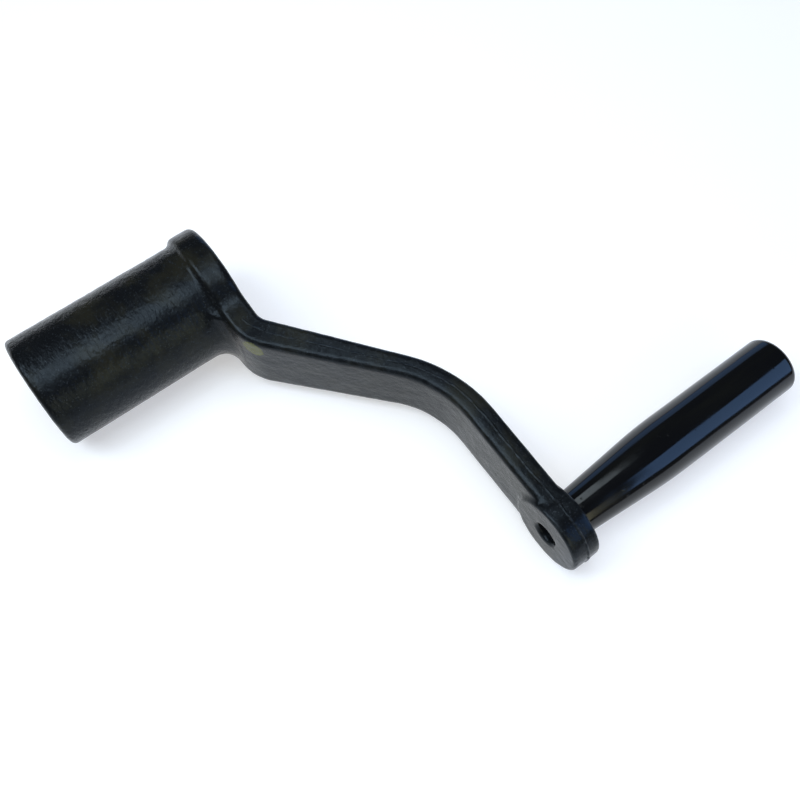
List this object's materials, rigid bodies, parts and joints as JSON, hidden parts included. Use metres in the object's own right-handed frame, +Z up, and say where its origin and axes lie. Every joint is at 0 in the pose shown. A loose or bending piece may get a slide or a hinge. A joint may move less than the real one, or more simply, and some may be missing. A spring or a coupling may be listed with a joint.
{
  "type": "starting crank handle",
  "caption": "Cast starting crank with a collared socket for an engine shaft, a bent flat arm and a smooth tapered grip that turns freely on a pin.",
  "frame": {"origin": "centre of the socket's mouth, on the turning axis", "axes": "+Y runs along the turning axis from the socket's mouth towards the grip's free end, +X along the arm towards the eye, +Z up with the crank lying on its side"},
  "size_m": [0.2339, 0.2824, 0.0604],
  "materials": {
    "black_casting": "glossy black paint over rough cast iron",
    "black_enamel": "smooth gloss black enamel",
    "pin_steel": "turned steel, darkened"
  },
  "bodies": {
    "crank": {"crank_body": "black_casting", "grip_pin": "pin_steel"},
    "grip": {"grip_sleeve": "black_enamel"}
  },
  "joints": [
    {"name": "grip_spin", "type": "hinge", "parent": "crank", "child": "grip", "pos_m": [0.18466, 0.22, -0.0112], "axis": [0, 1, 0], "continuous": true}
  ]
}
